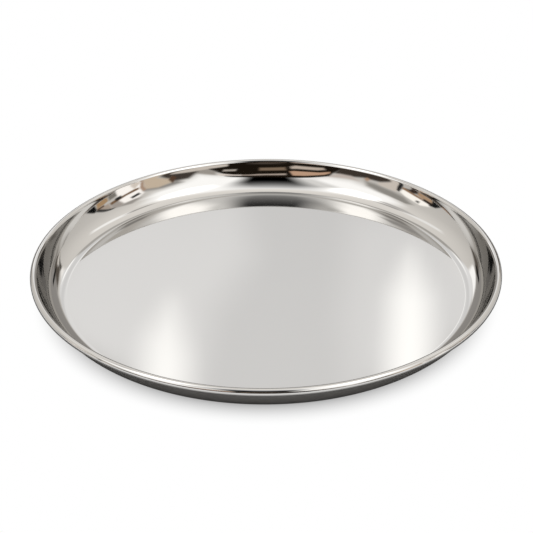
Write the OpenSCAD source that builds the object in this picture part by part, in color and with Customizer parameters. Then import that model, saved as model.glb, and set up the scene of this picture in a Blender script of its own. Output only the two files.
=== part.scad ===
// Round steel dinner plate: a flat base, a curved wall that steepens upwards and a rim rolled round a wire

/* [Plate] */
// Diameter over the rolled rim
plate_diameter = 300; // [200:1:400]
// Height from the table to the top of the rolled rim
plate_height = 21.1; // [16:0.1:25]
// Thickness of the steel sheet
sheet = 0.8; // [0.5:0.05:1.2]

/* [Wall] */
// Inside radius of the tight bend round the edge of the base
corner_radius = 6; // [1:0.5:8]
// Angle through which the tight bend turns the sheet up
corner_sweep = 5; // [2:1:12]
// Inside radius of the lower curve of the wall
wall_radius = 15.5; // [12:0.5:18]
// Slope at which the lower curve goes over into the wider upper one
knee_slope = 62; // [52:1:68]
// Slope of the wall where it meets the rolled rim
rim_slope = 75; // [72:1:84]

/* [Rolled rim] */
// Diameter of the wire inside the rolled rim
wire_diameter = 2.6; // [1.6:0.1:4]
// Gap all round between the wire and the sheet rolled over it
wire_clearance = 0.1; // [0.02:0.01:0.2]
// Gap between the end of the roll and the outside of the wall
roll_gap = 0.3; // [0.1:0.05:0.6]

/* [Hidden] */
$fn = 180;

// The roll is a bend of the sheet round the wire, turned outwards from the top of the wall
roll_inside = wire_diameter / 2 + wire_clearance;
roll_outside = roll_inside + sheet;
rim_radius = plate_diameter / 2 - roll_outside;
rim_height = plate_height - roll_outside;

// The roll goes on round the wire until its end comes up to the wall
roll_sweep = 360 - acos((roll_inside - roll_gap) / roll_outside);

// The lower curve starts at the slope of the tight bend and ends at the knee
centre_shift = wall_radius - corner_radius;
corner_height = sheet + corner_radius;
wall_height = corner_height + centre_shift * cos(corner_sweep);
wall_sweep = knee_slope - corner_sweep;
knee_height = wall_height - wall_radius * cos(knee_slope);

// The upper curve goes on from the knee and ends on the outside of the roll
upper_rise = rim_height + roll_outside * cos(rim_slope) - knee_height;
upper_radius = upper_rise / (cos(knee_slope) - cos(rim_slope));
upper_sweep = rim_slope - knee_slope;
upper_centre = rim_radius - (upper_radius + roll_outside) * sin(rim_slope);
upper_height = rim_height + (upper_radius + roll_outside) * cos(rim_slope);

// The base is as wide as the rim and the curves leave it
wall_centre = upper_centre + (upper_radius - wall_radius) * sin(knee_slope);
base_radius = wall_centre + centre_shift * sin(corner_sweep);

// Directions, seen from each bend's centre, in which the bends start
corner_start = -90;
wall_start = corner_start + corner_sweep;
upper_start = corner_start + knee_slope;
roll_start = 90 + rim_slope - roll_sweep;

// Each bend runs a little into the curve next to it, which makes them one sheet
bend_lap = 0.2;

// A cutting sector reaches past the outside of its bend, and has a corner every few degrees
sector_reach_share = 1.5;
sector_step = 30;

// A pie slice of the given radius, as a cutter for the bends
module sector(radius, start, sweep) {
    steps = ceil(sweep / sector_step);
    angles = [for (i = [0 : steps]) start + sweep * i / steps];
    polygon(concat([[0, 0]], [for (a = angles) radius * [cos(a), sin(a)]]));
}

// Cross-section of the sheet bent round a centre
module sheet_bend(centre, inside, start, sweep) {
    outside = inside + sheet;
    translate(centre)
        intersection() {
            difference() {
                circle(r = outside);
                circle(r = inside);
            }
            sector(outside * sector_reach_share, start, sweep);
        }
}

// Half cross-section of the sheet, from the middle of the base to the end of the roll
module sheet_section() {
    square([base_radius, sheet]);
    sheet_bend([base_radius, corner_height], corner_radius, corner_start, corner_sweep + bend_lap);
    sheet_bend([wall_centre, wall_height], wall_radius, wall_start, wall_sweep + bend_lap);
    sheet_bend([upper_centre, upper_height], upper_radius, upper_start, upper_sweep);
    sheet_bend([rim_radius, rim_height], roll_inside, roll_start, roll_sweep + bend_lap);
}

// The pressed sheet, with its edge rolled over
module pressed_plate() {
    color([0.8, 0.8, 0.79])
        rotate_extrude()
            sheet_section();
}

// The wire ring that stiffens the rolled rim
module rim_wire() {
    color([0.62, 0.62, 0.62])
        rotate_extrude()
            translate([rim_radius, rim_height])
                circle(d = wire_diameter);
}

pressed_plate();
rim_wire();
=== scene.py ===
import math

import bpy
import numpy as np
from mathutils import Matrix, Vector


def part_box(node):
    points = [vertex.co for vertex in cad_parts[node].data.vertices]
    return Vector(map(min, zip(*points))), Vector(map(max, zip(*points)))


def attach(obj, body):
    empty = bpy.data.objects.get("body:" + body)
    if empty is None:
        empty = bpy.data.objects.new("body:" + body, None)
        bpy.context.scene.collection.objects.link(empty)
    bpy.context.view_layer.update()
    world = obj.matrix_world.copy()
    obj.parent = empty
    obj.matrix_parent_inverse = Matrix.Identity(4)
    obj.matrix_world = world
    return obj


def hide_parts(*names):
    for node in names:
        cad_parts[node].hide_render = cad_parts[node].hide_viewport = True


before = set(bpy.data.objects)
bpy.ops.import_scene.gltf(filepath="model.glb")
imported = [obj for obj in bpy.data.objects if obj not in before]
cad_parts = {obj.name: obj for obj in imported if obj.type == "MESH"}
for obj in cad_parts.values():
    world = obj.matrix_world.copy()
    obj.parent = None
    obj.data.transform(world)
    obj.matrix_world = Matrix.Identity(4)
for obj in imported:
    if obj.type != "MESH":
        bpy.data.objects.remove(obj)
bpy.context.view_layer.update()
print("frame loaded:", ", ".join(sorted(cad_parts)))

scene = bpy.context.scene
scene.view_settings.view_transform = "Standard"


# Helpers for surfaces

def arc(centre, radius, start, stop, steps):
    # points at one radius from a centre, as the direction goes from start to stop in even steps (degrees)
    turn = np.radians(np.linspace(start, stop, steps))
    return np.stack([centre[0] + radius * np.cos(turn), centre[1] + radius * np.sin(turn)], 1)


def flat(start, stop, join, steps):
    # points in a straight line: its two ends, and even steps between points a join's width in from them
    start, stop = np.array(start), np.array(stop)
    share = join / np.linalg.norm(stop - start)
    shares = np.concatenate([[0], np.linspace(share, 1 - share, steps), [1]])
    return start + (stop - start) * shares[:, None]


def ringGrid(spokes, rows, closed=False):
    # corner numbers of the quads between neighbouring spokes and rows: the last spoke joins the first,
    # and where the section is closed, the last row joins the first too
    spoke, row = np.meshgrid(np.arange(spokes), np.arange(rows if closed else rows - 1), indexing="ij")
    nextSpoke, nextRow = (spoke + 1) % spokes, (row + 1) % rows
    quads = [spoke * rows + row, nextSpoke * rows + row, nextSpoke * rows + nextRow, spoke * rows + nextRow]
    return np.stack(quads, -1).reshape(-1, 4)


def revolve(outline, spokes):
    # each (radius, height) point of the outline goes once round the Z axis
    turn = np.linspace(0, 2 * np.pi, spokes, endpoint=False)[:, None]
    radius, height = outline[:, 0], outline[:, 1]
    places = np.stack([radius * np.cos(turn), radius * np.sin(turn), height + 0 * turn], -1)
    return places.reshape(-1, 3)


def addMesh(name, places, faces):
    # a smooth mesh object at the origin, with its place in its vertices
    mesh = bpy.data.meshes.new(name)
    mesh.from_pydata(places.tolist(), [], faces)
    mesh.polygons.foreach_set("use_smooth", np.ones(len(mesh.polygons), bool))
    mesh.update()
    piece = bpy.data.objects.new(name, mesh)
    scene.collection.objects.link(piece)
    return piece


# Helpers for materials

def newMaterial(name):
    # a material with nodes, and what is needed to wire it up
    material = bpy.data.materials.new(name)
    material.use_nodes = True
    tree = material.node_tree
    return material, tree.nodes, tree.links, tree.nodes["Principled BSDF"]


def addNode(nodes, kind, **settings):
    # a node of that kind, with its settings made
    node = nodes.new(kind)
    for key, value in settings.items():
        setattr(node, key, value)
    return node


# The pressed plate: base, tight bend, wall and rolled rim are one sheet

plate = dict(
    sheet=0.0008,        # thickness of the steel
    bendRadius=0.006,    # inside radius of the tight bend round the base
    bendAngle=5,         # degrees that the tight bend turns up
    wallRadius=0.0155,   # inside radius of the wall's lower curve
    kneeSlope=62,        # degrees where the lower curve goes over into the upper one
    rimSlope=75,         # degrees where the wall meets the roll
    rollGap=0.0003,      # from the end of the roll to the wall
    joinRow=0.0001,      # the base has a row this close to the bend, which keeps its reflections true
    spokes=360,          # steps round the plate; the rest are steps along its section
    baseRings=24,
    undersideRings=14,
    bendSteps=6,
    wallSteps=30,
    upperSteps=14,
    rollSteps=56,
    insideSteps=28,
    tipSteps=7,
)


def plateOutline(p):
    # the sheet's two faces as flats and arcs, each starting at the slope where the last one ended:
    # out under the base, up the outside, round inside the roll, back over it and down to the middle
    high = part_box("pressed_plate")[1]
    wireLow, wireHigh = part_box("rim_wire")
    sheet, bend, wall = p["sheet"], p["bendRadius"], p["wallRadius"]
    wireHeight = (wireLow.z + wireHigh.z) / 2
    rollOutside = high.z - wireHeight
    rollInside = rollOutside - sheet
    rimCentre = (high.x - rollOutside, wireHeight)
    lean, knee, slope = (math.radians(p[key]) for key in ("bendAngle", "kneeSlope", "rimSlope"))
    bendHeight = sheet + bend
    wallHeight = bendHeight + (wall - bend) * math.cos(lean)
    upperRise = wireHeight + rollOutside * math.cos(slope) - wallHeight + wall * math.cos(knee)
    upper = upperRise / (math.cos(knee) - math.cos(slope))
    reach = upper + rollOutside
    upperCentre = (rimCentre[0] - reach * math.sin(slope), wireHeight + reach * math.cos(slope))
    wallCentre = (upperCentre[0] + (upper - wall) * math.sin(knee), wallHeight)
    bendCentre = (wallCentre[0] + (wall - bend) * math.sin(lean), bendHeight)
    bendEnd, kneeTurn, upperEnd = (p[key] - 90 for key in ("bendAngle", "kneeSlope", "rimSlope"))
    joint = p["rimSlope"] + 90
    rollSweep = 360 - math.degrees(math.acos((rollInside - p["rollGap"]) / rollOutside))
    tip = sheet / 2
    tipMiddle = (rollInside + rollOutside) / 2
    tipTurn = joint - rollSweep + math.degrees(tip / tipMiddle)
    tipCentre = arc(rimCentre, tipMiddle, tipTurn, tipTurn, 1)[0]
    join = p["joinRow"]
    stretches = [
        flat((0, 0), (bendCentre[0], 0), join, p["undersideRings"]),
        arc(bendCentre, bend + sheet, -90, bendEnd, p["bendSteps"])[1:],
        arc(wallCentre, wall + sheet, bendEnd, kneeTurn, p["wallSteps"])[1:],
        arc(upperCentre, upper + sheet, kneeTurn, upperEnd, p["upperSteps"])[1:],
        arc(rimCentre, rollInside, joint, tipTurn, p["insideSteps"])[1:],
        arc(tipCentre, tip, tipTurn - 180, tipTurn, p["tipSteps"])[1:-1],
        arc(rimCentre, rollOutside, tipTurn, joint, p["rollSteps"]),
        arc(upperCentre, upper, upperEnd, kneeTurn, p["upperSteps"])[1:],
        arc(wallCentre, wall, kneeTurn, bendEnd, p["wallSteps"])[1:],
        arc(bendCentre, bend, bendEnd, -90, p["bendSteps"])[1:],
        flat((bendCentre[0], sheet), (0, sheet), join, p["baseRings"])[1:],
    ]
    return np.concatenate(stretches)


def makePlate(p):
    # the outline goes round the axis, with a fan of triangles to the middle above and below
    outline = plateOutline(p)
    spokes = p["spokes"]
    rows = len(outline) - 2
    ring = revolve(outline[1:-1], spokes)
    poles = np.array([[0, 0, outline[0, 1]], [0, 0, outline[-1, 1]]])
    first = np.arange(spokes) * rows
    after = np.roll(first, -1)
    underPole = np.full(spokes, len(ring))
    fans = np.concatenate([
        np.stack([underPole, after, first], 1),
        np.stack([underPole + 1, first + rows - 1, after + rows - 1], 1),
    ])
    faces = ringGrid(spokes, rows).tolist() + fans.tolist()
    return addMesh("pressedPlate", np.concatenate([ring, poles]), faces)


pressedPlate = makePlate(plate)
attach(pressedPlate, "root")
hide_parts("pressed_plate")
print("pressed plate made:", len(pressedPlate.data.polygons), "faces")


# The wire that the rim is rolled round

wire = dict(
    spokes=300,   # steps round the ring
    sides=20,     # steps round the wire
)


def makeWire(w):
    # a circle of the wire's radius goes once round the Z axis
    low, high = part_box("rim_wire")
    radius = (high.z - low.z) / 2
    section = arc((high.x - radius, low.z + radius), radius, 0, 360, w["sides"] + 1)[:-1]
    faces = ringGrid(w["spokes"], w["sides"], closed=True)
    return addMesh("rimWire", revolve(section, w["spokes"]), faces.tolist())


rimWire = makeWire(wire)
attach(rimWire, "root")
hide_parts("rim_wire")
print("rim wire made:", len(rimWire.data.polygons), "faces")


# Finishes

steel = dict(
    colour=(0.62, 0.61, 0.595),
    spread=0.015,         # share by which the colour goes up and down
    edge=0.68,            # tone at a glancing angle
    lines=2200,           # polishing lines in a metre, from the middle outwards
    lineRuns=6,           # how soon a line changes on its way round
    lineDetail=2,
    lineDepth=0.000004,
    lineStrength=0.15,
    lineShare=0.5,        # of the lines in the uneven shine; patches make up the rest
    patches=18,           # in a metre
    patchDetail=4,
    shineLow=0.3,         # the uneven shine from here
    shineHigh=0.7,        # to here is spread over the two roughnesses
    roughLow=0.03,
    roughHigh=0.055,
)


def polishedSteel(s):
    # mirror polish: noise drawn out round the axis makes fine lines, and with wide noise an uneven shine
    material, nodes, links, shader = newMaterial("polishedSteel")
    shader.inputs["Metallic"].default_value = 1
    shader.inputs["Specular Tint"].default_value = (s["edge"], s["edge"], s["edge"], 1)
    place = addNode(nodes, "ShaderNodeTexCoord")
    level = addNode(nodes, "ShaderNodeVectorMath", operation="MULTIPLY")
    level.inputs[1].default_value = (1, 1, 0)
    radius = addNode(nodes, "ShaderNodeVectorMath", operation="LENGTH")
    heading = addNode(nodes, "ShaderNodeVectorMath", operation="NORMALIZE")
    across = addNode(nodes, "ShaderNodeCombineXYZ")
    along = addNode(nodes, "ShaderNodeVectorMath", operation="ADD")
    scaled = addNode(nodes, "ShaderNodeMath", operation="MULTIPLY")
    scaled.inputs[1].default_value = s["lines"]
    wide = addNode(nodes, "ShaderNodeVectorMath", operation="SCALE")
    wide.inputs["Scale"].default_value = s["lineRuns"]
    streak = addNode(nodes, "ShaderNodeTexNoise")
    streak.inputs["Scale"].default_value = 1
    streak.inputs["Detail"].default_value = s["lineDetail"]
    links.new(place.outputs["Object"], level.inputs[0])
    links.new(level.outputs[0], radius.inputs[0])
    links.new(level.outputs[0], heading.inputs[0])
    links.new(radius.outputs["Value"], scaled.inputs[0])
    links.new(scaled.outputs[0], across.inputs["Z"])
    links.new(heading.outputs[0], wide.inputs[0])
    links.new(wide.outputs[0], along.inputs[0])
    links.new(across.outputs[0], along.inputs[1])
    links.new(along.outputs[0], streak.inputs["Vector"])
    patch = addNode(nodes, "ShaderNodeTexNoise")
    patch.inputs["Scale"].default_value = s["patches"]
    patch.inputs["Detail"].default_value = s["patchDetail"]
    links.new(place.outputs["Object"], patch.inputs["Vector"])
    shine = addNode(nodes, "ShaderNodeMath", operation="MULTIPLY_ADD")
    shine.inputs[1].default_value = s["lineShare"]
    links.new(streak.outputs["Fac"], shine.inputs[0])
    rest = addNode(nodes, "ShaderNodeMath", operation="MULTIPLY")
    rest.inputs[1].default_value = 1 - s["lineShare"]
    links.new(patch.outputs["Fac"], rest.inputs[0])
    links.new(rest.outputs[0], shine.inputs[2])
    rough = addNode(nodes, "ShaderNodeMapRange")
    rough.inputs["From Min"].default_value = s["shineLow"]
    rough.inputs["From Max"].default_value = s["shineHigh"]
    rough.inputs["To Min"].default_value = s["roughLow"]
    rough.inputs["To Max"].default_value = s["roughHigh"]
    links.new(shine.outputs[0], rough.inputs["Value"])
    links.new(rough.outputs["Result"], shader.inputs["Roughness"])
    tint = addNode(nodes, "ShaderNodeMix", data_type="RGBA")
    colour = np.array(s["colour"])
    tint.inputs["A"].default_value = (*(colour * (1 - s["spread"])), 1)
    tint.inputs["B"].default_value = (*(colour * (1 + s["spread"])), 1)
    links.new(shine.outputs[0], tint.inputs["Factor"])
    links.new(tint.outputs["Result"], shader.inputs["Base Color"])
    bump = addNode(nodes, "ShaderNodeBump")
    bump.inputs["Strength"].default_value = s["lineStrength"]
    bump.inputs["Distance"].default_value = s["lineDepth"]
    links.new(streak.outputs["Fac"], bump.inputs["Height"])
    links.new(bump.outputs["Normal"], shader.inputs["Normal"])
    return material


wireFinish = dict(
    dark=(0.4, 0.4, 0.39),
    light=(0.5, 0.5, 0.49),
    specks=900,           # in a metre
    speckDetail=3,
    roughLow=0.3,
    roughHigh=0.5,
)


def drawnWire(w):
    # dull wire: fine noise takes it from the dark tone to the light one, and from less rough to more
    material, nodes, links, shader = newMaterial("drawnWire")
    shader.inputs["Metallic"].default_value = 1
    place = addNode(nodes, "ShaderNodeTexCoord")
    specks = addNode(nodes, "ShaderNodeTexNoise")
    specks.inputs["Scale"].default_value = w["specks"]
    specks.inputs["Detail"].default_value = w["speckDetail"]
    links.new(place.outputs["Object"], specks.inputs["Vector"])
    tone = addNode(nodes, "ShaderNodeMix", data_type="RGBA")
    tone.inputs["A"].default_value = (*w["dark"], 1)
    tone.inputs["B"].default_value = (*w["light"], 1)
    links.new(specks.outputs["Fac"], tone.inputs["Factor"])
    links.new(tone.outputs["Result"], shader.inputs["Base Color"])
    rough = addNode(nodes, "ShaderNodeMapRange")
    rough.inputs["To Min"].default_value = w["roughLow"]
    rough.inputs["To Max"].default_value = w["roughHigh"]
    links.new(specks.outputs["Fac"], rough.inputs["Value"])
    links.new(rough.outputs["Result"], shader.inputs["Roughness"])
    return material


pressedPlate.data.materials.append(polishedSteel(steel))
rimWire.data.materials.append(drawnWire(wireFinish))
print("finishes made")


# Studio: a floor that is shown white, with a painted shadow of dark grey round the plate, and a tent of soft
# lamps, cards and flags for the polish to mirror

tent = dict(
    radius=6,
    turns=540,
    tiers=185,
    lowest=92,            # degrees from overhead at the foot, just under the floor
    top=0.02,             # and at the small hole at the top
    overhead=1.26,        # light from overhead
    fall=0.0056,          # what each degree down takes from it
    colour=(1, 0.965, 0.915),
)

lampWhite = (1.55, 1.545, 1.53)
black = (0.016, 0.011, 0.007)

# corners are degrees from overhead: to the right, and away from the camera
# soft is the width of the blurred edge, in the same degrees, and a later panel covers an earlier one
panels = {
    "low back": dict(tone=(0.42, 0.4, 0.38), soft=4, corners=(
        (-70, 95), (70, 95), (70, 62), (50, 62), (20, 66), (0, 67), (-20, 67), (-50, 60), (-70, 58))),
    "back left flag": dict(tone=(0.14, 0.12, 0.1), soft=4, corners=(
        (-32, 68), (-31, 65), (-45, 62.5), (-62, 58), (-64, 61), (-48, 69.5), (-40, 70))),
    "back right flag": dict(tone=(0.14, 0.12, 0.1), soft=4, corners=(
        (16, 65.5), (20, 62), (26, 60), (30, 58.5), (37, 58.5), (40, 61), (50, 62), (60, 60), (64, 63),
        (46, 67.5), (30, 65.5))),
    "back left dark": dict(tone=0.015, soft=2, corners=(
        (-28, 71.5), (-33, 71.5), (-38, 68.5), (-43, 65), (-41, 63.5), (-36, 65), (-31, 67.5))),
    "back right dark": dict(tone=0.015, soft=2, corners=(
        (28, 71.5), (33, 71.5), (38, 68.5), (43, 65), (41, 63.5), (36, 65), (31, 67.5))),
    "back right strip": dict(tone=(0.85, 0.8, 0.74), soft=2, corners=(
        (41, 60), (44, 62.3), (52, 62), (60, 60.5), (60, 58.5), (42, 59.3))),
    "back right line": dict(tone=(0.06, 0.05, 0.04), soft=1.5, corners=(
        (27, 58.5), (40, 59.3), (58, 58.8), (40, 57.7), (30, 57))),
    "back grey left": dict(tone=(0.55, 0.53, 0.5), soft=4, corners=(
        (-14, 56), (-8, 53.5), (-3, 53), (-2, 38), (-10, 42))),
    "back grey right": dict(tone=(0.6, 0.58, 0.55), soft=4, corners=(
        (14, 55), (8, 53.5), (2, 53), (2, 38), (9, 42))),
    "back band": dict(tone=lampWhite, soft=2.5, corners=(
        (-36, 60), (-30, 64), (-20, 66), (-8, 66.5), (-12, 63), (-15.5, 60.5), (-15.5, 57.5),
        (-20, 57.5), (-30, 58.5))),
    "back right band": dict(tone=(1.35, 1.32, 1.28), soft=2.5, corners=(
        (9, 64), (13, 62), (14, 60), (26, 58.5), (26, 56.5), (14, 56), (12.5, 58), (12, 61))),
    "base lamp": dict(tone=(0.995, 0.993, 0.995), soft=1.5, corners=(
        (-14.2, 57), (-13, 61), (-10, 63.5), (-4, 65.5), (4, 65.5), (10, 63.5), (13, 61), (14.2, 57),
        (11, 54), (6, 52), (-6, 52), (-11, 54))),
    "base glow": dict(tone=(1.16, 1.158, 1.16), soft=4, corners=(
        (-17, 57), (-14.5, 61), (-9, 64.5), (-2, 65), (-1, 61), (-4, 57.5), (-5, 53), (-9, 53),
        (-14, 54))),
    "base glow right": dict(tone=(1.12, 1.118, 1.12), soft=4, corners=(
        (6, 53), (5.5, 57), (6.5, 63), (10, 63.5), (14, 60.5), (17, 57), (13, 54))),
    "left slit": dict(tone=(1.65, 1.65, 1.63), soft=3.5, corners=(
        (-8.9, 52), (-5.6, 52), (-5.8, 54.5), (-7, 57.5), (-8.5, 55.5))),
    "right slit": dict(tone=(1.7, 1.7, 1.68), soft=3, corners=(
        (8.4, 52), (11.6, 52), (12, 57.5), (10.8, 60.2), (9.2, 58))),
    "overhead lamp": dict(tone=lampWhite, soft=14, corners=(
        (-58, -12), (-50, 1), (-26, 11), (0, 13), (20, 9), (36, 4), (46, -10), (52, -12), (58, -26),
        (48, -48), (44, -60), (-14, -60), (-40, -54), (-52, -46), (-60, -30))),
    "left hot spot": dict(tone=(2.8, 2.79, 2.76), soft=9, corners=(
        (-17, 3), (-21, 10), (-29, 7), (-38, -6), (-36, -18), (-29, -22), (-24, -15), (-21, -5))),
    "right hot spot": dict(tone=(2.8, 2.79, 2.76), soft=9, corners=(
        (18, 4), (25, 6), (31, -1), (36, -11), (32, -24), (24, -27), (18.5, -16), (18, -5))),
    "left half shade": dict(tone=(1.05, 1.04, 1.02), soft=10, corners=(
        (-14, -8), (-22, -14), (-31, -20), (-29, -52), (-14, -56))),
    "overhead gap": dict(tone=0, soft=12, fade=dict(start=-42, stop=10, tone=1.06, power=2), corners=(
        (-7, 14), (3, 14), (10, -14), (12.5, -30), (12.5, -62), (-17, -62), (-16, -14))),
    "left tip light": dict(tone=(1.25, 1.24, 1.22), soft=5, corners=(
        (-25, 23), (-27, 29), (-33, 36), (-40, 33), (-37, 26), (-31, 21))),
    "left tip shade": dict(tone=(0.55, 0.53, 0.51), soft=4, corners=(
        (-23, 13), (-25, 21), (-29, 21), (-30, 16), (-27, 12))),
    "left crescent shade": dict(tone=(0.7, 0.68, 0.66), soft=5, corners=(
        (-30, 5), (-29.5, 13), (-30.5, 21), (-35, 22), (-37, 14), (-35, 6))),
    "right tip light": dict(tone=(1.4, 1.39, 1.37), soft=5, corners=(
        (25, 21), (27, 28), (33, 35), (40, 32), (36, 23), (31, 18))),
    "right tip shade": dict(tone=(0.55, 0.53, 0.51), soft=4, corners=(
        (23, 14), (25, 22), (29, 22), (30, 17), (27, 13))),
    "left shade": dict(tone=(0.42, 0.4, 0.37), soft=6, corners=(
        (-70, -2), (-61, -3), (-62, -18), (-58, -36), (-62, -42), (-66, -36), (-71, -22), (-73, -12))),
    "right shade": dict(tone=(0.5, 0.47, 0.44), soft=6, corners=(
        (56, -5), (70, 0), (68, -16), (63, -18))),
    "right low shade": dict(tone=(0.42, 0.4, 0.38), soft=5, corners=(
        (49, -46), (58, -34), (69, -25), (71, -29), (62, -38), (55, -47))),
    "left lamp": dict(tone=(1.55, 1.5, 1.42), soft=2.5, corners=(
        (-82, 7), (-79.5, 9), (-75, 2), (-74.5, -12), (-76, -18), (-82, -18))),
    "left spot": dict(tone=0.1, soft=2, corners=((-79, 0), (-76, 0), (-76, -3), (-78, -3))),
    "left flag": dict(tone=0.015, soft=1.5, corners=(
        (-95, 26), (-86.5, 20.5), (-82, 14.5), (-81, 8), (-84, 9.5), (-95, 11))),
    "left tan card": dict(tone=(0.62, 0.42, 0.27), soft=2, corners=(
        (-95, 10.5), (-85, 10), (-84, 0), (-85, -5), (-95, -5))),
    "left brown bar": dict(tone=(0.05, 0.03, 0.02), soft=1.5, corners=(
        (-85, 10), (-82, 10), (-82, 1), (-85, 2))),
    "left rust bar": dict(tone=(0.42, 0.25, 0.14), soft=2, corners=(
        (-84, 1), (-82, 1), (-81, -19), (-84, -19))),
    "left dark corner": dict(tone=(0.06, 0.04, 0.03), soft=2.5, corners=(
        (-95, -5), (-86, -5), (-83.5, -9), (-84, -17), (-86, -13), (-95, -9))),
    "left low lamp": dict(tone=(0.9, 0.82, 0.74), soft=2.5, corners=(
        (-95, -22), (-80, -21), (-73, -20), (-69, -30), (-68, -34), (-71, -36), (-80, -31), (-95, -29.5))),
    "left bar": dict(tone=0.03, soft=1.5, corners=(
        (-87, -20), (-75.5, -18.5), (-75.5, -21), (-80, -23), (-87, -24))),
    "left low flag": dict(tone=(0.07, 0.055, 0.045), soft=4, corners=(
        (-95, -30), (-80, -30.5), (-72, -35.5), (-64, -46), (-54, -52), (-46, -60), (-56, -66), (-95, -66))),
    "left pale": dict(tone=(0.8, 0.7, 0.64), soft=5, corners=(
        (-57, -44), (-50, -50), (-40, -55), (-40, -57.5), (-50, -57), (-56, -52))),
    "left rust spot": dict(tone=(0.62, 0.4, 0.27), soft=3, corners=(
        (-67, -42), (-63, -41), (-63, -44.5), (-67, -45))),
    "front flag": dict(tone=black, soft=2, corners=(
        (-46, -60), (-40, -55.7), (-20, -55.2), (-13, -56), (14, -57.3), (20, -57.6), (25, -58.6), (28, -63),
        (42, -68.5), (50, -72), (40, -95), (-50, -95), (-56, -64))),
    "front orange": dict(tone=(0.78, 0.5, 0.34), soft=2, corners=(
        (-38, -58.6), (-24, -58.8), (-17, -60), (-16, -67), (-19, -67.5), (-28, -65), (-36, -62.5),
        (-44, -62), (-43, -60))),
    "front low card": dict(tone=(0.78, 0.66, 0.56), soft=3, corners=(
        (-42, -66), (-36, -66.5), (-22, -71), (-18, -71.5), (-18, -75), (-22, -76.5), (-30, -73.5),
        (-42, -69))),
    "front cream bar": dict(tone=(0.6, 0.5, 0.43), soft=1.8, corners=(
        (-13, -61), (0, -61.3), (10, -60.6), (18, -60.2), (28, -59.5), (31, -62), (28, -62.5), (20, -61.6),
        (10, -62.1), (4, -63.3), (-13, -63.8))),
    "front cream end": dict(tone=(1.1, 1, 0.92), soft=1.8, corners=(
        (15, -60.4), (22, -60.1), (29, -59.6), (31, -62), (28, -62.5), (20, -61.6), (15, -61.7))),
    "front tan": dict(tone=(0.32, 0.23, 0.16), soft=3, corners=(
        (-14, -69.5), (4, -69.5), (4, -74), (-14, -74.5))),
    "front right card": dict(tone=(0.5, 0.46, 0.42), soft=4, corners=(
        (31, -60), (46, -60), (52, -66), (44, -69), (34, -66))),
    "front right spot": dict(tone=(0.6, 0.54, 0.48), soft=2, corners=(
        (20, -68), (29, -66.5), (29, -69.5), (20, -71))),
    "front low edge": dict(tone=(0.14, 0.11, 0.09), soft=3, corners=(
        (-20, -81), (14, -81), (14, -86), (-20, -86))),
    "front right flag": dict(tone=(0.08, 0.065, 0.055), soft=5, corners=(
        (47, -62), (48, -52), (56, -46), (95, -46), (95, -70), (50, -72))),
    "front right edge": dict(tone=(0.9, 0.82, 0.74), soft=2.5, corners=(
        (28, -80), (40, -73.5), (52, -66), (66, -56.5), (66, -52.5), (52, -61.5), (40, -69.5), (28, -75.5))),
    "right cream card": dict(tone=(0.85, 0.7, 0.54), soft=4, corners=(
        (62, -34), (70, -28), (80, -33), (95, -33), (95, -42), (72, -44), (62, -47), (57, -44))),
    "right rust patch": dict(tone=(0.14, 0.08, 0.05), soft=2, corners=(
        (55.5, -42.5), (62, -45.5), (64, -52), (58.5, -51))),
    "right lamp": dict(tone=(1.55, 1.5, 1.45), soft=3, corners=(
        (70, -7), (76, -6), (82, -8), (95, -8), (95, -27), (82, -31), (72, -26), (67, -24), (66, -18))),
    "right low glow": dict(tone=(1, 0.9, 0.8), soft=3, corners=(
        (78, -23), (88, -22), (95, -24), (95, -34), (82, -33))),
    "right orange bar": dict(tone=(0.58, 0.4, 0.29), soft=2, corners=(
        (69, -25), (75, -26.5), (80.5, -31), (80, -33.5), (75, -30), (69, -28))),
    "right spot": dict(tone=0.04, soft=2, corners=((69, -14.5), (72, -14.5), (71.2, -22), (68, -22))),
    "right grey card": dict(tone=(0.55, 0.5, 0.46), soft=3, corners=(
        (70, 1), (74, 2), (78, 1), (78, -6), (72, -7), (69, -7))),
    "right far grey": dict(tone=(0.3, 0.28, 0.25), soft=2.5, corners=(
        (83.5, 0), (95, 0), (95, -8), (84, -8))),
    "right rust bar": dict(tone=(0.26, 0.15, 0.08), soft=1.8, corners=(
        (77.2, 1), (80.3, 1), (80.3, -5), (79.6, -12), (78.4, -22), (76.8, -26.5), (74.6, -25),
        (76.8, -14))),
    "right small flag": dict(tone=0.03, soft=1.5, corners=(
        (77.8, -4.5), (81.5, -4.5), (81.5, -10.5), (77.8, -10.5))),
    "right tan card": dict(tone=(0.6, 0.5, 0.42), soft=2, corners=(
        (73, 2), (77, 8), (81, 12.5), (81, 2))),
    "right diagonal": dict(tone=0.04, soft=2, corners=(
        (81, 16.5), (81, 11.5), (76, 6.2), (71.5, 0.4), (70.2, 2.6), (75, 9.4))),
    "right brown bar": dict(tone=(0.16, 0.09, 0.05), soft=1.5, corners=(
        (80.5, 13.5), (82.5, 13.5), (82.5, 6), (80.5, 6))),
    "right gold card": dict(tone=(0.58, 0.38, 0.21), soft=1.5, corners=(
        (82.5, 13), (95, 13), (95, 1), (84, 1), (83, 6))),
    "right flag": dict(tone=0.008, soft=1.5, corners=(
        (79.5, 16.5), (84.5, 24.5), (95, 30), (95, 16), (87, 14.5), (82, 13.5))),
}


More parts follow.
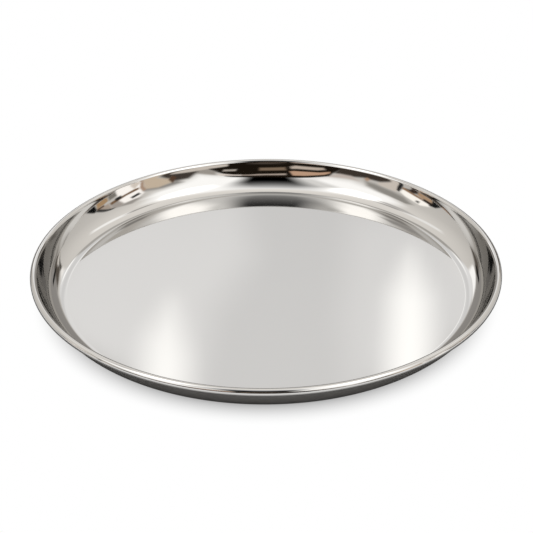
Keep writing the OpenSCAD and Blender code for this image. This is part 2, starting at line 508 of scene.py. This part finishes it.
def softPanel(spot, corners, soft):
    # least distance from the panel's sides, inwards counted up, ramped smoothly over the soft width
    points = np.array(corners, float)
    nearest = np.full(len(spot), np.inf)
    inside = np.zeros(len(spot), bool)
    for start, stop in zip(points, np.roll(points, -1, axis=0)):
        side, away = stop - start, spot - start
        along = np.clip(away @ side / (side @ side), 0, 1)
        nearest = np.minimum(nearest, np.linalg.norm(away - along[:, None] * side, axis=1))
        if side[1] != 0:
            crossed = (start[1] > spot[:, 1]) != (stop[1] > spot[:, 1])
            inside ^= crossed & (away[:, 0] < away[:, 1] * side[0] / side[1])
    ramp = np.clip(np.where(inside, nearest, -nearest) / soft + 0.5, 0, 1)
    return ramp * ramp * (3 - 2 * ramp)


def panelTone(panel, spot):
    # one tone all over, or a tone that goes over to another one, the further away from the camera
    tone = np.ones((len(spot), 3)) * panel["tone"]
    if "fade" in panel:
        fade = panel["fade"]
        share = np.clip((spot[:, 1:] - fade["start"]) / (fade["stop"] - fade["start"]), 0, 1)
        tone = tone + (fade["tone"] - tone) * share ** fade["power"]
    return tone


def makeTent(t):
    # a half sphere in rows from under the floor to overhead, with the light of each corner kept on it
    drop = np.linspace(t["lowest"], t["top"], t["tiers"])
    section = np.stack([np.sin(np.radians(drop)), np.cos(np.radians(drop))], 1) * t["radius"]
    piece = addMesh("tent", revolve(section, t["turns"]), ringGrid(t["turns"], t["tiers"]).tolist())
    spot = revolve(np.stack([drop, 0 * drop], 1), t["turns"])[:, :2]
    down = np.linalg.norm(spot, axis=1, keepdims=True)
    light = (t["overhead"] - t["fall"] * down) * np.array(t["colour"])
    for panel in panels.values():
        cover = softPanel(spot, panel["corners"], panel["soft"])[:, None]
        light += (panelTone(panel, spot) - light) * cover
    glow = piece.data.attributes.new("glow", "FLOAT_COLOR", "POINT")
    glow.data.foreach_set("color", np.column_stack([light, np.ones(len(light))]).ravel())
    piece.visible_camera = False
    piece.visible_shadow = False
    return piece


def tentLight():
    # gives out the light that is kept on the tent, corner by corner
    material = bpy.data.materials.new("tentLight")
    material.use_nodes = True
    material.cycles.emission_sampling = "NONE"
    nodes, links = material.node_tree.nodes, material.node_tree.links
    nodes.clear()
    glow = addNode(nodes, "ShaderNodeAttribute", attribute_name="glow")
    lamp = addNode(nodes, "ShaderNodeEmission")
    out = addNode(nodes, "ShaderNodeOutputMaterial")
    links.new(glow.outputs["Color"], lamp.inputs["Color"])
    links.new(lamp.outputs[0], out.inputs["Surface"])
    return material


tentDome = makeTent(tent)
tentDome.data.materials.append(tentLight())

floorPlan = dict(
    half=4,
    below=0.0002,         # clear of the plate's underside
    # dark grey: near the plate this is a painted shadow, seen round the plate and mirrored in its outer wall
    colour=(0.29, 0.29, 0.29),
    # a centre, and how far from it the painted shadow starts to turn white and the floor is all white
    mirrored=((0, 0.1, 0), 0.245, 0.285),   # in the polish
    seen=((0, 0, 0), 0.118, 0.152),         # to the camera
)


def seenRay(nodes, links):
    # two switches: 1 for what is seen in polish or glass, and 1 for what the camera sees
    path = addNode(nodes, "ShaderNodeLightPath")
    mirrored = addNode(nodes, "ShaderNodeMath", operation="ADD", use_clamp=True)
    links.new(path.outputs["Is Glossy Ray"], mirrored.inputs[0])
    links.new(path.outputs["Is Transmission Ray"], mirrored.inputs[1])
    return mirrored.outputs[0], path.outputs["Is Camera Ray"]


def shadowRingFloor(f):
    # matt dark grey near the plate, a painted shadow laid over the real shade it keeps there, and going over
    # to plain white further out
    material, nodes, links, shader = newMaterial("shadowRingFloor")
    shader.inputs["Base Color"].default_value = (*f["colour"], 1)
    shader.inputs["Roughness"].default_value = 1
    shader.inputs["Specular IOR Level"].default_value = 0
    place = addNode(nodes, "ShaderNodeTexCoord")
    total = addNode(nodes, "ShaderNodeMath", operation="ADD", use_clamp=True)
    for slot, (ring, ray) in enumerate(zip((f["mirrored"], f["seen"]), seenRay(nodes, links))):
        centre, start, stop = ring
        reach = addNode(nodes, "ShaderNodeVectorMath", operation="DISTANCE")
        reach.inputs[1].default_value = centre
        out = addNode(nodes, "ShaderNodeMapRange", interpolation_type="SMOOTHSTEP")
        out.inputs["From Min"].default_value = start
        out.inputs["From Max"].default_value = stop
        share = addNode(nodes, "ShaderNodeMath", operation="MULTIPLY")
        links.new(place.outputs["Object"], reach.inputs[0])
        links.new(reach.outputs["Value"], out.inputs["Value"])
        links.new(out.outputs["Result"], share.inputs[0])
        links.new(ray, share.inputs[1])
        links.new(share.outputs[0], total.inputs[slot])
    white = addNode(nodes, "ShaderNodeEmission")
    mix = addNode(nodes, "ShaderNodeMixShader")
    links.new(total.outputs[0], mix.inputs["Fac"])
    links.new(shader.outputs[0], mix.inputs[1])
    links.new(white.outputs[0], mix.inputs[2])
    links.new(mix.outputs[0], nodes["Material Output"].inputs["Surface"])
    material.cycles.emission_sampling = "NONE"
    return material


def makeFloor(f):
    # a square, with its middle under the plate
    half, height = f["half"], -f["below"]
    places = [(-half, -half, height), (half, -half, height), (half, half, height), (-half, half, height)]
    piece = addMesh("floor", np.array(places), [(0, 1, 2, 3)])
    piece.data.materials.append(shadowRingFloor(f))
    return piece


floor = makeFloor(floorPlan)


def whiteWorld():
    # plain white to the camera and in polish or glass: the tent gives all the light
    world = bpy.data.worlds.new("studio")
    world.use_nodes = True
    nodes, links = world.node_tree.nodes, world.node_tree.links
    back = nodes["Background"]
    back.inputs["Color"].default_value = (1, 1, 1, 1)
    seen = addNode(nodes, "ShaderNodeMath", operation="ADD", use_clamp=True)
    for slot, ray in enumerate(seenRay(nodes, links)):
        links.new(ray, seen.inputs[slot])
    links.new(seen.outputs[0], back.inputs["Strength"])
    return world


scene.world = whiteWorld()
print("studio made")


# Camera, at the photograph's viewing angle

shot = dict(
    distance=0.675,       # from the middle of the base
    elevation=30.45,      # degrees above the base
    pitch=29.75,          # degrees that it looks down
    yaw=0.035,            # turned to the side
    roll=-0.32,           # tilted
    lens=69.43,
    sensor=36,
)


def makeCamera(s):
    # in front of the plate, at its distance and elevation; pitch and yaw aim it, and roll tilts it
    rise, pitch, yaw, roll = (math.radians(s[key]) for key in ("elevation", "pitch", "yaw", "roll"))
    ahead = Vector((math.sin(yaw) * math.cos(pitch), math.cos(yaw) * math.cos(pitch), -math.sin(pitch)))
    level = Vector((math.cos(yaw), -math.sin(yaw), 0))
    upright = level.cross(ahead)
    right = level * math.cos(roll) + upright * math.sin(roll)
    up = upright * math.cos(roll) - level * math.sin(roll)
    turn = Matrix((right, up, -ahead)).transposed().to_4x4()
    place = Vector((0, -math.cos(rise), math.sin(rise))) * s["distance"] + Vector((0, 0, plate["sheet"]))
    data = bpy.data.cameras.new("camera")
    data.lens = s["lens"]
    data.sensor_width = s["sensor"]
    camera = bpy.data.objects.new("camera", data)
    camera.matrix_world = Matrix.Translation(place) @ turn
    scene.collection.objects.link(camera)
    return camera


scene.camera = makeCamera(shot)
